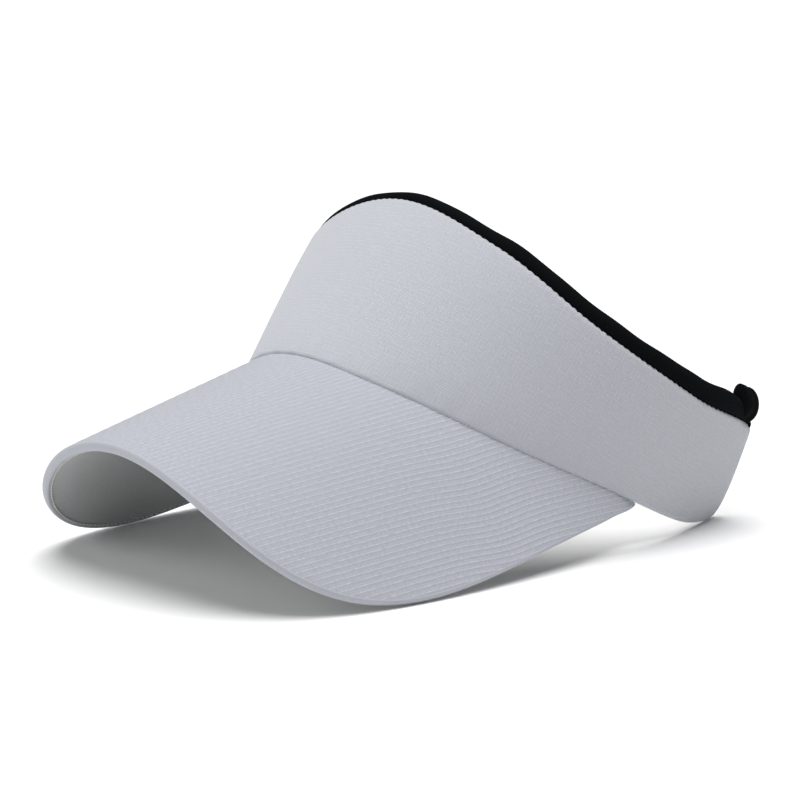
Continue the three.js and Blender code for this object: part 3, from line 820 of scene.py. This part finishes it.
# --------------------------------------------------------------------------------- elastic
# The knit cover of the sweatband carries on across the back as a gathered tube round flat
# elastic. Each end swells where it turns the corner and is sewn down inside the tail.
ELASTIC_HALF, KNOB_HALF, WEBBING_HALF = (5.2, 2.3), (6.6, 4.4), (3.3, 0.6)
TURN_ANGLES, TURN_RISE, SPAN_X, BACK_BOW, BACK_SAG, JOIN = (105.5, 110.3), 7.0, 66.0, 17.0, 6.0, 0.3
TURN_PUSH = np.array([0.4, 1.7, -1.4])           # the full knit pushes the turn backwards
NEXT_BACK, NEXT_DOWN, NEXT_IN = 2.6, 2.6, 5.5    # where the route goes from the turn

sewn, corner = (wall(a, along(TOP_EDGE, a) + TURN_RISE, (BAND_PROUD + BAND_IN) / 2)
                for a in TURN_ANGLES)
corner = corner + TURN_PUSH


def beyond_corner(x, back, down):
    return np.array([x, corner[1] + back, corner[2] - down])


left_route = [sewn, corner, beyond_corner(corner[0] - NEXT_IN, NEXT_BACK, NEXT_DOWN),
              beyond_corner(SPAN_X, 6.5, 5), beyond_corner(SPAN_X / 2, BACK_BOW * 0.8, BACK_SAG)]
route = np.array([*left_route, beyond_corner(0, BACK_BOW, BACK_SAG),
                  *(p * [-1, 1, 1] for p in left_route[::-1])])


def route_point(f):
    """Smooth curve through the route's points; f runs from 0 at the left end to 1."""
    ps = np.vstack([2 * route[0] - route[1], route, 2 * route[-1] - route[-2]])
    t = np.asarray(f, float) * (len(route) - 1)
    i = np.clip(np.floor(t).astype(int), 0, len(route) - 2)
    w = (t - i)[..., None]
    x0, x1, x2, x3 = (ps[i + j] for j in range(4))
    gap = [np.sqrt(np.linalg.norm(b - a, axis=-1, keepdims=True))
           for a, b in ((x0, x1), (x1, x2), (x2, x3))]
    m1 = ((x1 - x0) / gap[0] - (x2 - x0) / (gap[0] + gap[1]) + (x2 - x1) / gap[1]) * gap[1]
    m2 = ((x2 - x1) / gap[1] - (x3 - x1) / (gap[1] + gap[2]) + (x3 - x2) / gap[2]) * gap[1]
    return x1 + m1 * w + (-3 * x1 + 3 * x2 - 2 * m1 - m2) * w**2 + (2 * x1 - 2 * x2 + m1 + m2) * w**3


def tube(f, tall, thick, around, phase=0.0):
    """Rows of points round the route: half height and half thickness for each station."""
    at = route_point(f)
    ahead = route_point(f + 0.004) - route_point(f - 0.004)
    ahead[:, 2] = 0
    ahead = unit(ahead)
    out = np.stack([ahead[:, 1], -ahead[:, 0], 0 * ahead[:, 0]], -1)
    a = np.linspace(0, 2 * math.pi, around, endpoint=False) + phase
    return (at[:, None] + out[:, None] * (thick * np.cos(a))[..., None]
            + np.array([0, 0, 1.0]) * (tall * np.sin(a))[..., None])


def closed_tube(name, rows, material, pitch):
    """Closed body from rings of points, with a pole at each end."""
    n, m = rows.shape[:2]
    poles = np.stack([rows[0].mean(0), rows[-1].mean(0)])
    points = np.concatenate([rows.reshape(-1, 3), poles])
    a = np.arange(n * m).reshape(n, m)
    b = np.roll(a, -1, 1)
    faces = np.stack([a[:-1], a[1:], b[1:], b[:-1]], -1).reshape(-1, 4).tolist()
    faces += [[n * m, int(p), int(q)] for p, q in zip(a[0], b[0])]
    faces += [[n * m + 1, int(q), int(p)] for p, q in zip(a[-1], b[-1])]
    length = np.concatenate([[0], np.cumsum(np.linalg.norm(np.diff(rows.mean(1), axis=0), axis=1))])
    round_it = np.arange(m) * pitch
    lay = np.stack(np.broadcast_arrays(length[:, None], round_it[None, :], 0.0), -1).reshape(-1, 3)
    lay = np.concatenate([lay, [[0, 0, 0], [length[-1], 0, 0]]])
    return cloth_object(name, points, faces, lay, material, 70)


elastic_knit = black_knit("black_gathered_knit", 0.8, 0.75, 0.00018)
AROUND = 48
RING = np.linspace(0, 2 * math.pi, AROUND, endpoint=False)[None, :]
TURN_SPAN, CLOSE_SPAN = 0.22, 0.03   # shares of the route: the swollen turn, the closed end
CREASE, CREASE_AT, CREASE_SPAN = 0.16, 0.075, 0.012
KNOB_GATHER, RUFFLE, FINE_RUFFLE = 0.035, 0.07, 0.04
KNOB_GATHERS, GATHERS, FINE_GATHERS = 210, 330, 610     # radians of gathers over the route
knob_f = np.linspace(0.0, JOIN, 70)
turned = np.sin(np.minimum(knob_f / TURN_SPAN, 1) * math.pi) ** 0.7
size = [a + (b - a) * turned for a, b in zip(ELASTIC_HALF, KNOB_HALF)]
closing = np.sqrt(np.clip(knob_f / CLOSE_SPAN, 0.02, 1))
crease = CREASE * np.exp(-((knob_f[:, None] - CREASE_AT) / CREASE_SPAN) ** 2)
gather = KNOB_GATHER * np.sin(knob_f[:, None] * KNOB_GATHERS + 1.3 * np.sin(2 * RING))
gather *= 1 - turned[:, None]
scale = (1 - crease + gather) * closing[:, None]
for side, name in ((1, "left"), (-1, "right")):
    f = knob_f if side == 1 else 1 - knob_f
    rings = tube(f, size[0][:, None] * scale, size[1][:, None] * scale, AROUND)
    knob = closed_tube(f"{name}_elastic_turn", rings, elastic_knit, 0.75)
    sewn_in(knob, f"{name}_elastic_end")

webbing, tree, shader = new_material("covered_elastic", 0.75, colour=(0.03, 0.03, 0.03))
lay = node(tree, "ShaderNodeAttribute", attribute_name="cloth").outputs["Vector"]
strand = node(tree, "ShaderNodeTexWave", {"Vector": lay, "Scale": 0.5, "Distortion": 0.4},
              bands_direction="Y")
tree.links.new(node(tree, "ShaderNodeMix", {"Factor": strand.outputs["Fac"],
               "A": (0.012, 0.012, 0.012, 1), "B": (0.045, 0.045, 0.045, 1)},
               data_type="RGBA").outputs["Result"], shader.inputs["Base Color"])
emboss(tree, shader, strand.outputs["Fac"], 0.6, 0.0002)
half = np.linspace(JOIN - 0.004, 0.5, 150)
along_it = half[:, None]
ruffle = RUFFLE * np.sin(along_it * GATHERS + 1.1 * np.sin(RING + 27 * along_it))
ruffle += FINE_RUFFLE * np.sin(along_it * FINE_GATHERS + 2 * RING)
ruffle *= np.clip((along_it - JOIN) * 40, 0, 1) * np.clip((0.5 - along_it) * 60, 0, 1)
flat = 1 + 0 * half[4:, None]
for side, name in ((1, "left"), (-1, "right")):
    f = half if side == 1 else 1 - half
    rings = tube(f, ELASTIC_HALF[0] * (1 + ruffle), ELASTIC_HALF[1] * (1 + 1.6 * ruffle), AROUND)
    casing = closed_tube(f"{name}_elastic_casing", rings, elastic_knit, 0.5)
    rings = tube(f[4:], WEBBING_HALF[0] * flat, WEBBING_HALF[1] * flat, 16, math.pi / 16)
    strip = closed_tube(f"{name}_elastic_webbing", rings, webbing, 0.8)
    for piece, cad, slot in ((casing, "elastic_casing", "black_knit"),
                             (strip, "elastic_webbing", "elastic")):
        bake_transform(piece)
        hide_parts(cad)

# -------------------------------------------------------------------------------- stitches
# Lockstitch rows in spun thread. Each stitch is a short arched length of thread that dips
# into its two needle holes; bar tacks are the same thread laid close together.
# Twist of the ply: the threads use it for their bump, and also for a painted highlight on each turn.
thread_twist = bpy.data.node_groups.new("thread_twist", "ShaderNodeTree")
interface(thread_twist, [("Lay", "INPUT", "NodeSocketVector", None),
                         ("Ply", "INPUT", "NodeSocketFloat", 0.35),
                         ("Twist", "OUTPUT", "NodeSocketFloat", None)])
given = node(thread_twist, "NodeGroupInput")
axes = node(thread_twist, "ShaderNodeSeparateXYZ", {"Vector": given.outputs["Lay"]}).outputs
skew = maths(thread_twist, "ADD", axes["X"], maths(thread_twist, "MULTIPLY", axes["Y"], 1.4))
wave = maths(thread_twist, "SINE", maths(thread_twist, "MULTIPLY", maths(
    thread_twist, "DIVIDE", skew, given.outputs["Ply"]), 2 * math.pi))
node(thread_twist, "NodeGroupOutput", {"Twist": maths(
    thread_twist, "ADD", maths(thread_twist, "MULTIPLY", wave, 0.5), 0.5)})


def spun_thread(name, dark, light):
    """Two-ply thread, with a painted highlight on the crown of each turn and painted shade between the
    turns.
    """
    material, tree, shader = new_material(name, 0.7, sheen=0.2)
    lay = node(tree, "ShaderNodeAttribute", attribute_name="thread").outputs["Vector"]
    ply = node(tree, "ShaderNodeGroup", node_tree=thread_twist)
    tree.links.new(lay, ply.inputs["Lay"])
    ply.inputs["Ply"].default_value = 0.35
    # Colour by the twist: painted highlight on each turn's crown, painted shade between them.
    colour = node(tree, "ShaderNodeMix", {"Factor": ply.outputs["Twist"], "A": (*dark, 1),
                  "B": (*light, 1)}, data_type="RGBA")
    tree.links.new(colour.outputs["Result"], shader.inputs["Base Color"])
    tree.links.new(node(tree, "ShaderNodeMapRange", {"Value": ply.outputs["Twist"],
                   "To Min": 0.85, "To Max": 0.6}).outputs[0], shader.inputs["Roughness"])
    emboss(tree, shader, ply.outputs["Twist"], 0.6, 0.00008)
    return material


# Dark and light colours of each thread: the light one is the painted highlight of the turns.
white_thread = spun_thread("white_thread", (0.42, 0.43, 0.48), (0.57, 0.58, 0.62))
cream_thread = spun_thread("cream_thread", (0.5, 0.47, 0.4), (0.83, 0.8, 0.72))
black_thread = spun_thread("black_thread", (0.002, 0.002, 0.002), (0.014, 0.014, 0.016))

stitch_row = bpy.data.node_groups.new("stitch_row", "GeometryNodeTree")
interface(stitch_row, [
    ("Geometry", "INPUT", "NodeSocketGeometry", None), ("Pitch", "INPUT", "NodeSocketFloat", 0.003),
    ("Stitch Length", "INPUT", "NodeSocketFloat", 0.0024),
    ("Thread Width", "INPUT", "NodeSocketFloat", 0.0005), ("Arch", "INPUT", "NodeSocketFloat", 0.0003),
    ("Unevenness", "INPUT", "NodeSocketFloat", 0.08), ("Seed", "INPUT", "NodeSocketInt", 7),
    ("Thread", "INPUT", "NodeSocketMaterial", None),
    ("Geometry", "OUTPUT", "NodeSocketGeometry", None)])
given = node(stitch_row, "NodeGroupInput").outputs
half_length = maths(stitch_row, "MULTIPLY", given["Stitch Length"], 0.5)
dip = maths(stitch_row, "MULTIPLY", given["Thread Width"], -0.6)
ends = [node(stitch_row, "ShaderNodeCombineXYZ", {"X": x, "Z": dip}).outputs[0]
        for x in (maths(stitch_row, "MULTIPLY", half_length, -1.0), half_length)]
crest = node(stitch_row, "ShaderNodeCombineXYZ", {"Z": maths(
    stitch_row, "MULTIPLY", given["Arch"], 2.0)}).outputs[0]
arc = node(stitch_row, "GeometryNodeCurveQuadraticBezier",
           {"Resolution": 7, "Start": ends[0], "Middle": crest, "End": ends[1]})
ring = node(stitch_row, "GeometryNodeCurvePrimitiveCircle", {"Resolution": 6, "Radius": maths(
    stitch_row, "MULTIPLY", given["Thread Width"], 0.5)})
strand = node(stitch_row, "GeometryNodeCurveToMesh", {"Curve": arc.outputs[0],
              "Profile Curve": ring.outputs[0], "Fill Caps": True})
own_place = node(stitch_row, "ShaderNodeVectorMath", {0: node(
    stitch_row, "GeometryNodeInputPosition").outputs[0], "Scale": 1000.0}, operation="SCALE")
strand = node(stitch_row, "GeometryNodeStoreNamedAttribute", {
    "Geometry": strand.outputs[0], "Name": "thread", "Value": own_place.outputs[0]},
    data_type="FLOAT_VECTOR", domain="POINT")
strand = node(stitch_row, "GeometryNodeSetShadeSmooth", {"Geometry": strand.outputs[0]})
path = node(stitch_row, "GeometryNodeMeshToCurve", {"Mesh": given["Geometry"]})
path = node(stitch_row, "GeometryNodeResampleCurve", {"Curve": path.outputs[0],
            "Length": given["Pitch"]}, mode="LENGTH")
facing = node(stitch_row, "GeometryNodeInputNamedAttribute", {"Name": "facing"},
              data_type="FLOAT_VECTOR").outputs["Attribute"]
lie = node(stitch_row, "FunctionNodeAlignRotationToVector", {"Vector": node(
    stitch_row, "GeometryNodeInputTangent").outputs[0]}, axis="X")
lie = node(stitch_row, "FunctionNodeAlignRotationToVector", {"Rotation": lie.outputs[0],
           "Vector": facing}, axis="Z", pivot_axis="X")
spread = node(stitch_row, "FunctionNodeRandomValue", {
    2: maths(stitch_row, "SUBTRACT", 1.0, given["Unevenness"]),
    3: maths(stitch_row, "ADD", 1.0, given["Unevenness"]), "Seed": given["Seed"]},
    data_type="FLOAT").outputs[1]
row = node(stitch_row, "GeometryNodeInstanceOnPoints", {"Points": path.outputs[0],
           "Instance": strand.outputs[0], "Rotation": lie.outputs[0], "Scale": spread})
row = node(stitch_row, "GeometryNodeRealizeInstances", {"Geometry": row.outputs[0]})
row = node(stitch_row, "GeometryNodeSetMaterial", {"Geometry": row.outputs[0],
           "Material": given["Thread"]})
node(stitch_row, "NodeGroupOutput", {"Geometry": row.outputs[0]})


def sew(name, runs, sizes, thread, cad):
    """Sews a row of stitches along paths of points, which face the way their facings say."""
    points, edges, faces_out = [], [], []
    for path, facing in runs:
        edges += [(len(points) + i, len(points) + i + 1) for i in range(len(path) - 1)]
        points += ((path + FORM_PLACE) * 0.001).tolist()
        faces_out += facing.tolist()
    mesh = bpy.data.meshes.new(name)
    mesh.from_pydata(points, edges, [])
    mesh.attributes.new("facing", "FLOAT_VECTOR", "POINT").data.foreach_set(
        "vector", np.array(faces_out, np.float32).ravel())
    piece = bpy.data.objects.new(name, mesh)
    bpy.context.collection.objects.link(piece)
    modifier = piece.modifiers.new("stitches", "NODES")
    modifier.node_group = stitch_row
    sockets = {s.name: s.identifier for s in stitch_row.interface.items_tree
               if s.in_out == "INPUT"}
    for key, value in {**sizes, "Thread": thread}.items():
        modifier[sockets[key]] = value
    bpy.context.view_layer.update()
    sewn_mesh = bpy.data.meshes.new_from_object(
        piece.evaluated_get(bpy.context.evaluated_depsgraph_get()))
    piece.modifiers.clear()
    piece.data = sewn_mesh
    sewn_in(piece, cad)
    return piece


def wall_line(gap, height, depth, inwards=False):
    """A line on the crown and the way it faces; height is a function of the stations."""
    col = column(np.linspace(-1, 1, 900) * (1 - gap / HALF_LENGTH))
    h = height(col)[:, None]
    line, beneath = on_column(col, h, depth)[0][:, 0], on_column(col, h, depth + 1)[0][:, 0]
    return line, (beneath - line) * (1 if inwards else -1)


sew("crown_edge_stitches", [wall_line(4, lambda c: c["high"] - 0.2, 0.55)],
    {"Pitch": SCALLOP_PITCH * 0.001, "Stitch Length": 0.0021, "Thread Width": 0.00038,
     "Arch": 0.00012}, white_thread, "crown_top_stitching")
sew("sweatband_lower_stitches",
    [wall_line(BAND_STOP + 2, lambda c: c["high"] - BAND_DROP + 2, LEGS_MEET + 0.35, True)],
    {"Pitch": 0.003, "Stitch Length": 0.0026, "Arch": 0.0003}, black_thread,
    "sweatband_lower_stitching")
sew("brim_root_stitches",
    [wall_line(TAIL_RADIUS + 60, lambda c: c["low"] + INNER_START + 1.5, LINING[1], True)],
    {"Pitch": 0.003, "Stitch Length": 0.0026, "Arch": 0.0003}, white_thread,
    "brim_root_stitching")
for name, cad, side, thread, pitch in (
        ("brim_edge_needle_stitches", "brim_edge_needle_thread", 1, white_thread, 0.0027),
        ("brim_edge_bobbin_stitches", "brim_edge_bobbin_thread", -1, cream_thread, 0.0023)):
    keep = slice(14, -14)
    face = TOP_LOFT + 0.08 if side == 1 else FACE_DOWN
    line = edge_path(fine_brim, [[ROW_IN, face]])[keep, 0]
    sew(name, [(line, fine_brim[2][keep] * side)],
        {"Pitch": pitch, "Stitch Length": pitch * 0.62, "Thread Width": 0.0002 if side == 1 else
         0.0007, "Arch": 0.00002 if side == 1 else 0.0004}, thread, cad)

TACK_ENDS = np.array([2.0, 3.2])     # where its two stitches lie, from the foam's end
TACK_ROWS, TACK_STEP, TACK_DROP = 12, 0.55, 8.5
for side, name in ((1, "left"), (-1, "right")):
    rows = []
    for i in range(TACK_ROWS):
        col = column(side * (1 - (BAND_STOP + TACK_ENDS) / HALF_LENGTH))
        h = col["high"][:, None] - TACK_DROP + i * TACK_STEP
        line, beneath = (on_column(col, h, BAND_IN + d)[0][:, 0] for d in (0.1, 1.1))
        rows.append((line, beneath - line))
    sew(f"{name}_bar_tack", rows,
        {"Pitch": 0.002, "Stitch Length": 0.0021, "Thread Width": 0.00045, "Arch": 0.0002,
         "Unevenness": 0.04}, black_thread, f"{name}_end_bartack")
